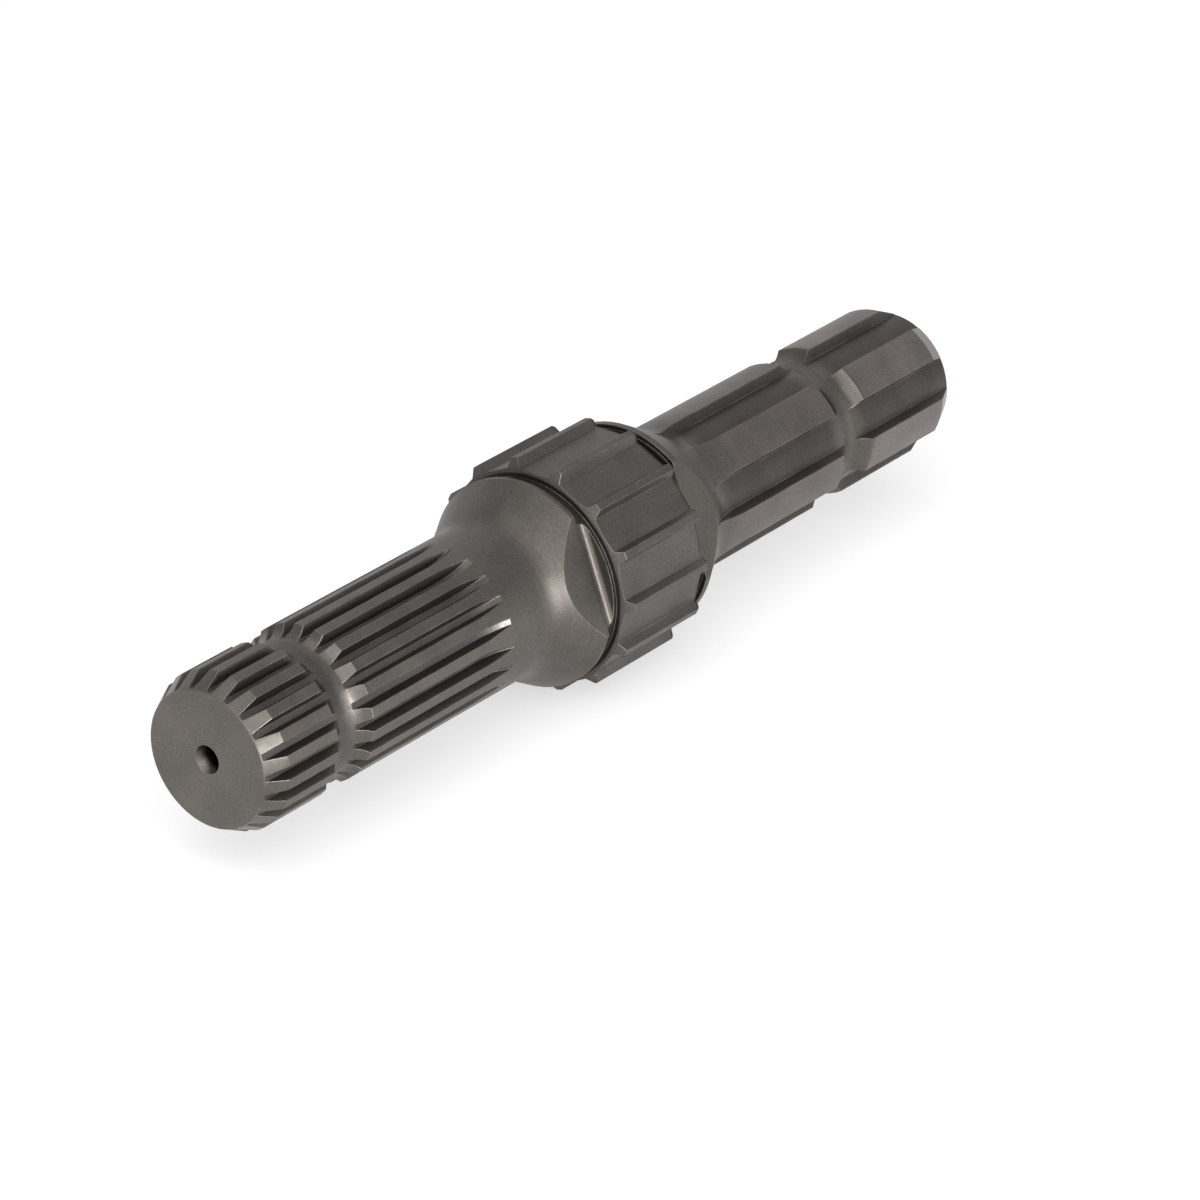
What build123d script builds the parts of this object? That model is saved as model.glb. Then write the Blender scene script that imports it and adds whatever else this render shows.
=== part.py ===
from build123d import *
import os
from math import asin, cos, radians, sin, tan

# Reversible power take-off shaft, cut from one steel bar: a 21-tooth spline on one end, a toothed collar
# between two coned flanges, and a 6-tooth spline on the other end.
#
# The shaft lies along X, with the origin at the centre of the 21-tooth end face and +Z up. Directions round
# the axis are counted from +Z towards -Y. Lengths are in millimetres, directions and angles in degrees.

# Whole shaft
shaft_length = 237.6
centre_hole_mouth = 6.3
centre_hole_pilot = 3.2
centre_hole_depth = 8.0
centre_hole_angle = 60.0

# Locking groove for the balls of a coupling, alike on both ends: its section is part of a near-round ellipse
lock_groove_length = 13.6
lock_groove_height = 13.5
lock_groove_bottom_radius = 14.7

# 21-tooth spline, with flanks that follow the chord of their involute
fine_teeth = 21
fine_tip_radius = 17.46
fine_root_radius = 15.15
fine_gap_mouth = 3.0
fine_gap_floor = 1.3
fine_full_depth_end = 66.0
fine_cutter_radius = 24.0
fine_gap_direction = 54.0
fine_groove_from_end = 25.4
fine_chamfer_length = 5.0
fine_chamfer_radius = 15.05

# 6-tooth spline, with parallel-sided teeth
coarse_teeth = 6
coarse_tip_radius = 17.4
coarse_root_radius = 14.95
coarse_tooth_width = 8.6
coarse_full_depth_start = 158.0
coarse_cutter_radius = 22.0
coarse_gap_direction = 73.0
coarse_groove_from_end = 38.1
coarse_chamfer_length = 5.2
coarse_chamfer_radius = 15.05

# Flanges, each a cone that rises to a narrow land, with a pair of spanner flats
flange_radius = 23.6
flange_cone_angle = 29.0
flange_blend_length = 2.6
near_flange_start = 100.3
near_flange_end = 101.3
far_flange_start = 135.4
far_flange_end = 137.0
flat_distance = 19.5
flat_direction = 69.5
flat_foot_radius = 1.2
flat_to_collar = 0.9

# Toothed collar, and the snap-ring grooves on both sides of it
ring_groove_radius = 22.6
collar_start = 104.2
collar_end = 131.6
collar_teeth = 14
collar_tip_radius = 26.4
collar_floor_distance = 24.2
collar_tip_width = 1.6
collar_base_width = 3.1
collar_gap_direction = 180.0
collar_lead_in_length = 1.6
collar_lead_in_radius = 23.7
collar_end_chamfer = 0.5

# How far a cutter passes outside the metal, and how far round a run-out is followed
overshoot = 2.0
run_out_arc = 40.0


def polar_point(radius, angle):
    """Point at a radius and an angle in radians from local X."""
    return (radius * cos(angle), radius * sin(angle))


# Cutters for the features that repeat round the axis. Each stands with the shaft's axis along Z and its
# cut centred on X, and is turned into place further down.

# One gap of the 21-tooth spline: straight to full depth, then up the rim of the cutter and out of the bar
with BuildPart() as fine_gap:
    flank_slope = (fine_gap_mouth - fine_gap_floor) / 2 / (fine_tip_radius - fine_root_radius)
    with BuildSketch(Plane.XY.offset(-overshoot)):
        with BuildLine():
            outer_half_width = fine_gap_mouth / 2 + flank_slope * overshoot
            Polyline(
                (fine_root_radius, -fine_gap_floor / 2),
                (fine_root_radius, fine_gap_floor / 2),
                (fine_tip_radius + overshoot, outer_half_width),
                (fine_tip_radius + overshoot, -outer_half_width),
                close=True,
            )
        make_face()
    extrude(amount=fine_full_depth_end + overshoot)
    fine_cutter_axis = Axis((fine_root_radius + fine_cutter_radius, 0, fine_full_depth_end), (0, 1, 0))
    revolve(fine_gap.faces().sort_by(Axis.Z)[-1], axis=fine_cutter_axis, revolution_arc=run_out_arc)

# One gap of the 6-tooth spline, with a round floor between the parallel flanks of two neighbouring teeth
with BuildPart() as coarse_gap:
    coarse_half_pitch = radians(180 / coarse_teeth)
    with BuildSketch(Plane.XY.offset(coarse_full_depth_start)):
        Circle(coarse_tip_radius + overshoot)
        Circle(coarse_root_radius, mode=Mode.SUBTRACT)
        with BuildLine():
            apex = coarse_tooth_width / 2 / sin(coarse_half_pitch)
            edge_x, edge_y = polar_point(2 * coarse_tip_radius, coarse_half_pitch)
            Polyline((apex, 0), (apex + edge_x, edge_y), (apex + edge_x, -edge_y), close=True)
        make_face(mode=Mode.INTERSECT)
    extrude(amount=shaft_length - coarse_full_depth_start + overshoot)
    coarse_cutter_x = coarse_root_radius + coarse_cutter_radius
    coarse_cutter_axis = Axis((coarse_cutter_x, 0, coarse_full_depth_start), (0, -1, 0))
    revolve(coarse_gap.faces().sort_by(Axis.Z)[0], axis=coarse_cutter_axis, revolution_arc=run_out_arc)

# One gap of the collar, with a flat floor between the sloping flanks of two neighbouring teeth
with BuildPart() as collar_gap:
    collar_half_pitch = radians(180 / collar_teeth)
    floor_angle = collar_half_pitch - asin(collar_base_width / 2 / collar_floor_distance)
    tip_angle = collar_half_pitch - asin(collar_tip_width / 2 / collar_tip_radius)
    with BuildSketch(Plane.XY.offset(collar_start - overshoot)):
        with BuildLine():
            tip_corner = polar_point(collar_tip_radius, tip_angle)
            Polyline(
                (collar_floor_distance, 0),
                (collar_floor_distance, collar_floor_distance * tan(floor_angle)),
                tip_corner,
                (collar_tip_radius + overshoot, tip_corner[1]),
                (collar_tip_radius + overshoot, 0),
                close=True,
            )
        make_face()
        mirror(about=Plane.XZ)
    extrude(amount=collar_end - collar_start + 2 * overshoot)

# Where the cones leave the bar, and where the mill for the flats stopped short of the collar
near_cone_start = near_flange_start - (flange_radius - fine_tip_radius) / tan(radians(flange_cone_angle))
far_cone_end = far_flange_end + (flange_radius - coarse_tip_radius) / tan(radians(flange_cone_angle))
near_flat_wall = collar_start - flat_to_collar
far_flat_wall = collar_end + flat_to_collar

# One flat across each flange, with a rounded foot against its wall
with BuildPart() as flats:
    with BuildSketch(Plane.XZ) as flat_profile:
        for low_end, high_end in ((near_cone_start, near_flat_wall), (far_flat_wall, far_cone_end)):
            with Locations((flat_distance, low_end)):
                Rectangle(flange_radius, high_end - low_end, align=(Align.MIN, Align.MIN))
        flat_feet = flat_profile.vertices().group_by(Axis.X)[0].sort_by(Axis.Y)[1:3]
        fillet(flat_feet, flat_foot_radius)
    extrude(amount=flange_radius, both=True)

# Corners where the blend at the foot of each cone begins and ends
blend_run = flange_blend_length * cos(radians(flange_cone_angle))
blend_rise = flange_blend_length * sin(radians(flange_cone_angle))
near_blend_start = (near_cone_start - flange_blend_length, fine_tip_radius)
near_blend_end = (near_cone_start + blend_run, fine_tip_radius + blend_rise)
far_blend_start = (far_cone_end - blend_run, coarse_tip_radius + blend_rise)
far_blend_end = (far_cone_end + flange_blend_length, coarse_tip_radius)

# The bar as turned: end chamfers, cones with blended feet, snap-ring grooves and the collar
with BuildPart() as splined_shaft:
    with BuildSketch(Plane.XZ):
        with BuildLine():
            Polyline(
                (0, 0),
                (0, fine_chamfer_radius),
                (fine_chamfer_length, fine_tip_radius),
                near_blend_start,
            )
            Bezier(near_blend_start, (near_cone_start, fine_tip_radius), near_blend_end)
            Polyline(
                near_blend_end,
                (near_flange_start, flange_radius),
                (near_flange_end, flange_radius),
                (near_flange_end, ring_groove_radius),
                (collar_start, ring_groove_radius),
                (collar_start, collar_lead_in_radius),
                (collar_start + collar_lead_in_length, collar_tip_radius),
                (collar_end - collar_end_chamfer, collar_tip_radius),
                (collar_end, collar_tip_radius - collar_end_chamfer),
                (collar_end, ring_groove_radius),
                (far_flange_start, ring_groove_radius),
                (far_flange_start, flange_radius),
                (far_flange_end, flange_radius),
                far_blend_start,
            )
            Bezier(far_blend_start, (far_cone_end, coarse_tip_radius), far_blend_end)
            Polyline(
                far_blend_end,
                (shaft_length - coarse_chamfer_length, coarse_tip_radius),
                (shaft_length, coarse_chamfer_radius),
                (shaft_length, 0),
                (0, 0),
            )
        make_face()
    revolve(axis=Axis.X)

    # Locking grooves, turned all the way round both ends
    with BuildSketch(Plane.XZ):
        with Locations(
            (fine_groove_from_end, lock_groove_bottom_radius + lock_groove_height / 2),
            (shaft_length - coarse_groove_from_end, lock_groove_bottom_radius + lock_groove_height / 2),
        ):
            Ellipse(lock_groove_length / 2, lock_groove_height / 2)
    revolve(axis=Axis.X, mode=Mode.SUBTRACT)

    # Centre holes that the bar was turned between
    with Locations(Plane((0, 0, 0), z_dir=(-1, 0, 0)), Plane((shaft_length, 0, 0), z_dir=(1, 0, 0))):
        CounterSinkHole(centre_hole_pilot / 2, centre_hole_mouth / 2, centre_hole_depth, centre_hole_angle)

    # Spline gaps, collar gaps and opposite pairs of flats
    repeats = (
        (fine_gap, fine_teeth, fine_gap_direction),
        (coarse_gap, coarse_teeth, coarse_gap_direction),
        (collar_gap, collar_teeth, collar_gap_direction),
        (flats, 2, flat_direction),
    )
    for cutter, count, direction in repeats:
        with Locations(Plane.YZ):
            with PolarLocations(0, count, start_angle=90 + direction):
                add(cutter.part, mode=Mode.SUBTRACT)

os.makedirs("parts", exist_ok=True)
splined_shaft.part.label = "splined_shaft"
export_step(splined_shaft.part, "parts/splined_shaft.step")
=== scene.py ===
import math

import bpy
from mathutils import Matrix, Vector


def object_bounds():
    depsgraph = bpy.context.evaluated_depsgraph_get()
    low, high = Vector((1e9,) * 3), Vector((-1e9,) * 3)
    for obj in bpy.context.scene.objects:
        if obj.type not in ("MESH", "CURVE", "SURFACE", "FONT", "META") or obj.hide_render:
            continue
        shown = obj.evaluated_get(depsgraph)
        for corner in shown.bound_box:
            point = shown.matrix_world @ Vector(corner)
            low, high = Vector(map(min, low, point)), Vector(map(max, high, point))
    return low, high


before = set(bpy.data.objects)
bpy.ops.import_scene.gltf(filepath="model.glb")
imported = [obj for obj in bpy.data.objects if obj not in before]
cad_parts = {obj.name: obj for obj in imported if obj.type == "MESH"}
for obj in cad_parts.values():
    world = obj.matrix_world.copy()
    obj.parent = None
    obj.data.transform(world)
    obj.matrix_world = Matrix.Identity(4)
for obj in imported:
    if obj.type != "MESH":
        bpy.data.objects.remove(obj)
cad_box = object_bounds()


# Splined shaft. One piece of alloy steel: turned between centres, with its splines and collar teeth hobbed
# and its flats milled, then induction hardened. It is left bare, so a thin dark scale stays on it except
# where a coupling has rubbed it away.
MM = 0.001
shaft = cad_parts["splined_shaft"]
shaft_length = cad_box[1].x / MM
tip_radius = 17.46
collar_floor_radius = 24.2
ring_groove_radius = 22.6
flat_foot_middle = 102.6
flat_foot_width = 2.0
hole_mouth_radius = 3.15
broken_edge = 0.25


def add_node(tree, kind, settings=(), links=()):
    """Adds a node to a tree, with its settings by name and the sockets that feed its inputs."""
    node = tree.nodes.new(kind)
    for name, value in dict(settings).items():
        if isinstance(name, str) and hasattr(node, name):
            setattr(node, name, value)
        else:
            node.inputs[name].default_value = value
    for name, socket in dict(links).items():
        tree.links.new(socket, node.inputs[name])
    return node


def linear(code):
    """A colour written as sRGB hex, as linear RGBA."""
    channels = [int(code[i : i + 2], 16) / 255 for i in (1, 3, 5)]
    return (*[c / 12.92 if c <= 0.04045 else ((c + 0.055) / 1.055) ** 2.4 for c in channels], 1.0)


# Hardened alloy steel, machined and left bare: a dark satin grey, a little brown, paler along worn edges
steel = bpy.data.materials.new("bare_hardened_steel")
steel.use_nodes = True
tree = steel.node_tree
shader = tree.nodes["Principled BSDF"]
shader.inputs["Metallic"].default_value = 1.0

# Distance along the shaft from its 21-tooth end, and distance from its axis
place = add_node(tree, "ShaderNodeTexCoord").outputs["Object"]
along = add_node(tree, "ShaderNodeSeparateXYZ", {}, {"Vector": place}).outputs["X"]
share = add_node(
    tree, "ShaderNodeMath", {"operation": "DIVIDE", 1: shaft_length * MM}, {0: along}
).outputs[0]
across = add_node(
    tree, "ShaderNodeVectorMath", {"operation": "MULTIPLY", 1: (0, 1, 1)}, {0: place}
).outputs[0]
radius = add_node(tree, "ShaderNodeVectorMath", {"operation": "LENGTH"}, {0: across}).outputs["Value"]
facing = add_node(tree, "ShaderNodeNewGeometry").outputs["Normal"]
end_on = add_node(tree, "ShaderNodeSeparateXYZ", {}, {"Vector": facing}).outputs["X"]
end_on = add_node(tree, "ShaderNodeMath", {"operation": "ABSOLUTE"}, {0: end_on}).outputs[0]

# Rings left by the lathe's tip. A feed of 0.2 mm is too fine to show, so they are drawn 0.7 mm apart
ring_spacing = 0.7
turned_place = add_node(tree, "ShaderNodeCombineXYZ", {}, {"X": along, "Y": radius}).outputs[0]
rings = add_node(
    tree, "ShaderNodeTexNoise", {"Scale": 1 / (ring_spacing * MM), "Detail": 1.0}, {"Vector": turned_place}
).outputs[0]

# Streaks that the hob drew along the shaft, 0.5 mm wide and 20 mm long
streak_width = 0.5
streak_length = 20.0
stretched_place = add_node(
    tree,
    "ShaderNodeVectorMath",
    {"operation": "MULTIPLY", 1: (streak_width / streak_length, 1, 1)},
    {0: place},
).outputs[0]
streaks = add_node(
    tree, "ShaderNodeTexNoise", {"Scale": 1 / (streak_width * MM), "Detail": 2.0}, {"Vector": stretched_place}
).outputs[0]

# The hob cut the gaps of the splines, and the collar's teeth and floors
below_tips = add_node(
    tree,
    "ShaderNodeMapRange",
    {"From Min": (tip_radius - 0.16) * MM, "From Max": (tip_radius - 0.46) * MM},
    {"Value": radius},
).outputs[0]
sideways = add_node(
    tree, "ShaderNodeMapRange", {"From Min": 0.35, "From Max": 0.1}, {"Value": end_on}
).outputs[0]
in_gap = add_node(tree, "ShaderNodeMath", {"operation": "MULTIPLY"}, {0: below_tips, 1: sideways}).outputs[0]
on_collar = add_node(
    tree, "ShaderNodeMath", {"operation": "GREATER_THAN", 1: (collar_floor_radius - 0.2) * MM}, {0: radius}
).outputs[0]
hobbed = add_node(tree, "ShaderNodeMath", {"operation": "MAXIMUM"}, {0: in_gap, 1: on_collar}).outputs[0]
marks = add_node(tree, "ShaderNodeMix", {}, {"Factor": hobbed, "A": rings, "B": streaks}).outputs[0]

# Scale that was baked on unevenly, in clouds about 9 mm across, over a grain of 0.4 mm
cloud_width = 9.0
grain_width = 0.4
clouds = add_node(
    tree, "ShaderNodeTexNoise", {"Scale": 1 / (cloud_width * MM), "Detail": 3.0}, {"Vector": place}
).outputs[0]
grain = add_node(
    tree, "ShaderNodeTexNoise", {"Scale": 1 / (grain_width * MM), "Detail": 2.0}, {"Vector": place}
).outputs[0]

# Colours by distance in mm along the shaft. Turned surfaces are palest where a coupling slides on the 6-tooth
# end.
# The groove before the collar is darker and the snap-ring groove beyond the collar nearly black, both as
# painted shade
turned_colours_and_groove_shade = [
    (0.0, "#66625e"),
    (77.0, "#64605c"),
    (101.1, "#605c58"),
    # Painted shade in the groove before the collar
    (101.5, "#4a4743"),
    (104.0, "#4a4743"),
    (104.3, "#625e5b"),
    (131.5, "#625e5b"),
    # Painted shade, nearly black, in the snap-ring groove beyond the collar
    (131.7, "#1e1c1a"),
    (135.3, "#1e1c1a"),
    (135.5, "#625e5a"),
    (150.0, "#625e5a"),
    (160.0, "#6d6864"),
    (194.0, "#6d6864"),
    (195.5, "#5f5b57"),
    (204.5, "#5f5b57"),
    (206.0, "#787370"),
]
# Inside the gaps of both splines no coupling rubs, and the 6-tooth end is darkest. Their darker colour is
# partly hob scale and partly painted shade between the teeth
gap_scale_and_shade_colours = [
    (0.0, "#5e5a57"),
    (76.0, "#5e5a57"),
    (100.0, "#605c58"),
    (147.0, "#5a5652"),
    (160.0, "#524e4b"),
    (193.0, "#524e4b"),
    (196.0, "#66625e"),
    (203.0, "#66625e"),
    (206.0, "#54504d"),
]
turned = add_node(tree, "ShaderNodeValToRGB", {}, {"Fac": share})
gaps = add_node(tree, "ShaderNodeValToRGB", {}, {"Fac": share})
for ramp, colours in ((turned, turned_colours_and_groove_shade), (gaps, gap_scale_and_shade_colours)):
    stops = ramp.color_ramp.elements
    while len(stops) < len(colours):
        stops.new(0.5)
    for stop, (distance, code) in zip(stops, colours):
        stop.position = distance / shaft_length
    for stop, (distance, code) in zip(stops, colours):
        stop.color = linear(code)
# The gaps take their darker colours: partly hob scale, partly painted shade between the teeth
finish = add_node(
    tree,
    "ShaderNodeMix",
    {"data_type": "RGBA"},
    {"Factor": in_gap, "A": turned.outputs["Color"], "B": gaps.outputs["Color"]},
).outputs["Result"]

# A painted highlight makes the foot of each flat a little brighter, and painted shade makes the centre holes
# dark
painted_foot_highlight = add_node(
    tree,
    "ShaderNodeMath",
    {"operation": "COMPARE", 1: flat_foot_middle * MM, 2: flat_foot_width / 2 * MM},
    {0: along},
).outputs[0]
inside_groove = add_node(
    tree, "ShaderNodeMath", {"operation": "LESS_THAN", 1: (ring_groove_radius - 0.1) * MM}, {0: radius}
).outputs[0]
painted_foot_highlight = add_node(
    tree, "ShaderNodeMath", {"operation": "MULTIPLY"}, {0: painted_foot_highlight, 1: inside_groove}
).outputs[0]
# Painted highlight along the foot of the flat
finish = add_node(
    tree,
    "ShaderNodeMix",
    {"data_type": "RGBA", "B": linear("#6a6560")},
    {"Factor": painted_foot_highlight, "A": finish},
).outputs["Result"]
# Painted shade: darker deeper into each centre hole, to nearly black
hole_painted_shade = add_node(
    tree,
    "ShaderNodeMapRange",
    {"From Min": (hole_mouth_radius - 0.65) * MM, "From Max": (hole_mouth_radius - 1.25) * MM},
    {"Value": radius},
).outputs[0]
finish = add_node(
    tree,
    "ShaderNodeMix",
    {"data_type": "RGBA", "B": linear("#1c1a18")},
    {"Factor": hole_painted_shade, "A": finish},
).outputs["Result"]

# Scale, tool marks and grain each make the steel lighter and darker, by up to a quarter, a tenth and a third
for pattern, depth in ((clouds, 0.25), (marks, 0.1), (grain, 0.35)):
    shade = add_node(
        tree, "ShaderNodeMath", {"operation": "MULTIPLY_ADD", 1: 2 * depth, 2: 1 - depth}, {0: pattern}
    ).outputs[0]
    finish = add_node(tree, "ShaderNodeHueSaturation", {}, {"Value": shade, "Color": finish}).outputs[0]

# On the broken edges, handling has rubbed the scale away to pale bright steel, more in some places than in
# others
edge = add_node(tree, "ShaderNodeBevel", {"samples": 8, "Radius": broken_edge * MM}).outputs[0]
turn_off = add_node(
    tree, "ShaderNodeVectorMath", {"operation": "DOT_PRODUCT"}, {0: edge, 1: facing}
).outputs["Value"]
bare_edge = add_node(
    tree, "ShaderNodeMapRange", {"From Min": 0.995, "From Max": 0.90}, {"Value": turn_off}
).outputs[0]
rubbing = add_node(
    tree, "ShaderNodeMapRange", {"From Min": 0.35, "From Max": 0.65}, {"Value": clouds}
).outputs[0]
bare_edge = add_node(tree, "ShaderNodeMath", {"operation": "MULTIPLY"}, {0: bare_edge, 1: rubbing}).outputs[0]
finish = add_node(
    tree,
    "ShaderNodeMix",
    {"data_type": "RGBA", "B": linear("#96908a")},
    {"Factor": bare_edge, "A": finish},
).outputs["Result"]
tree.links.new(finish, shader.inputs["Base Color"])

# Satin, a little duller where the tool marks are lighter, and smoother on what looks along the shaft within
# its tips: the end faces and chamfers, the walls of the locking grooves and the ends of the gaps
end_facing = add_node(
    tree, "ShaderNodeMapRange", {"From Min": 0.2, "From Max": 0.35}, {"Value": end_on}
).outputs[0]
within_tips = add_node(
    tree, "ShaderNodeMath", {"operation": "LESS_THAN", 1: (tip_radius - 0.02) * MM}, {0: radius}
).outputs[0]
fine_cut = add_node(
    tree, "ShaderNodeMath", {"operation": "MULTIPLY"}, {0: end_facing, 1: within_tips}
).outputs[0]
dullness = add_node(
    tree, "ShaderNodeMath", {"operation": "MULTIPLY_ADD", 1: 0.14, 2: 0.39}, {0: marks}
).outputs[0]
dullness = add_node(
    tree, "ShaderNodeMath", {"operation": "MULTIPLY_ADD", 1: -0.15}, {0: fine_cut, 2: dullness}
).outputs[0]
tree.links.new(dullness, shader.inputs["Roughness"])

# Tool marks and grain a few micrometres deep, over the broken edges
relief = add_node(tree, "ShaderNodeMath", {"operation": "ADD"}, {0: marks, 1: grain}).outputs[0]
skin = add_node(
    tree, "ShaderNodeBump", {"Strength": 0.25, "Distance": 0.03 * MM}, {"Height": relief, "Normal": edge}
).outputs[0]
tree.links.new(skin, shader.inputs["Normal"])
shaft.data.materials.clear()
shaft.data.materials.append(steel)


# Floor and backdrop. Two large sheets of matt white card, one laid flat under the shaft and one stood up
# behind it. They look white to the camera and in the steel right out to their edges, and the floor keeps the
# shaft's shadow.
floor_level = cad_box[0].z
shaft_middle = Vector((0.12, 0, 0))
card_size = 6.0
card_glow = 0.55
card = bpy.data.materials.new("white_card")
card.use_nodes = True
tree = card.node_tree
tree.nodes.clear()
paper = add_node(tree, "ShaderNodeBsdfDiffuse", {"Color": linear("#c4c4c4")}).outputs[0]
ray = add_node(tree, "ShaderNodeLightPath").outputs
seen = add_node(
    tree, "ShaderNodeMath", {"operation": "MAXIMUM"}, {0: ray["Is Camera Ray"], 1: ray["Is Glossy Ray"]}
).outputs[0]
seen = add_node(
    tree, "ShaderNodeMath", {"operation": "MAXIMUM"}, {0: seen, 1: ray["Is Transmission Ray"]}
).outputs[0]
white = add_node(tree, "ShaderNodeMath", {"operation": "MULTIPLY", 1: card_glow}, {0: seen}).outputs[0]
glow = add_node(tree, "ShaderNodeEmission", {}, {"Strength": white}).outputs[0]
both = add_node(tree, "ShaderNodeAddShader", {}, {0: paper, 1: glow}).outputs[0]
add_node(tree, "ShaderNodeOutputMaterial", {}, {"Surface": both})
for name, centre, turn in (
    ("floor", (shaft_middle.x, 0, floor_level), (0, 0, 0)),
    ("backdrop", (1.9, 1.5, floor_level), (math.radians(90), 0, math.radians(-52))),
):
    bpy.ops.mesh.primitive_plane_add(size=card_size, location=centre, rotation=turn)
    sheet = bpy.context.object
    sheet.name = name
    sheet.data.materials.append(card)


# Light. A bright white studio, with softboxes in front of the shaft, at its side and overhead, all turned to
# its middle.
scene = bpy.context.scene
scene.view_settings.view_transform = "Standard"
studio = bpy.data.worlds.new("studio")
studio.use_nodes = True
studio.node_tree.nodes["Background"].inputs["Color"].default_value = linear("#ffffff")
studio.node_tree.nodes["Background"].inputs["Strength"].default_value = 0.6
scene.world = studio
for name, stand, width, height, power in (
    ("side_softbox", (0.05, -0.95, 0.14), 0.4, 0.4, 6.0),
    ("front_softbox", (-0.72, -0.62, 0.72), 1.6, 1.5, 12.5),
    ("top_softbox", (-0.1, 0.1, 1.2), 0.8, 0.8, 1.7),
):
    softbox = bpy.data.lights.new(name, "AREA")
    softbox.shape = "RECTANGLE"
    softbox.size = width
    softbox.size_y = height
    softbox.energy = power
    lamp = bpy.data.objects.new(name, softbox)
    lamp.location = stand
    lamp.rotation_euler = (shaft_middle - lamp.location).to_track_quat("-Z", "Y").to_euler()
    scene.collection.objects.link(lamp)


# Camera. A long lens, a little above the shaft and off its 21-tooth end, turned to a point near the shaft's
# middle.
aim = Vector((112.6, -11.7, -5.2)) * MM
azimuth = math.radians(-52.25)
elevation = math.radians(26.43)
distance = 1170 * MM
back = Vector(
    (
        math.sin(azimuth) * math.cos(elevation),
        -math.cos(azimuth) * math.cos(elevation),
        math.sin(elevation),
    )
)
camera_data = bpy.data.cameras.new("camera")
camera_data.lens = 165
camera_data.sensor_width = 36
camera = bpy.data.objects.new("camera", camera_data)
camera.location = aim + back * distance
camera.rotation_euler = (-back).to_track_quat("-Z", "Y").to_euler()
scene.collection.objects.link(camera)
scene.camera = camera
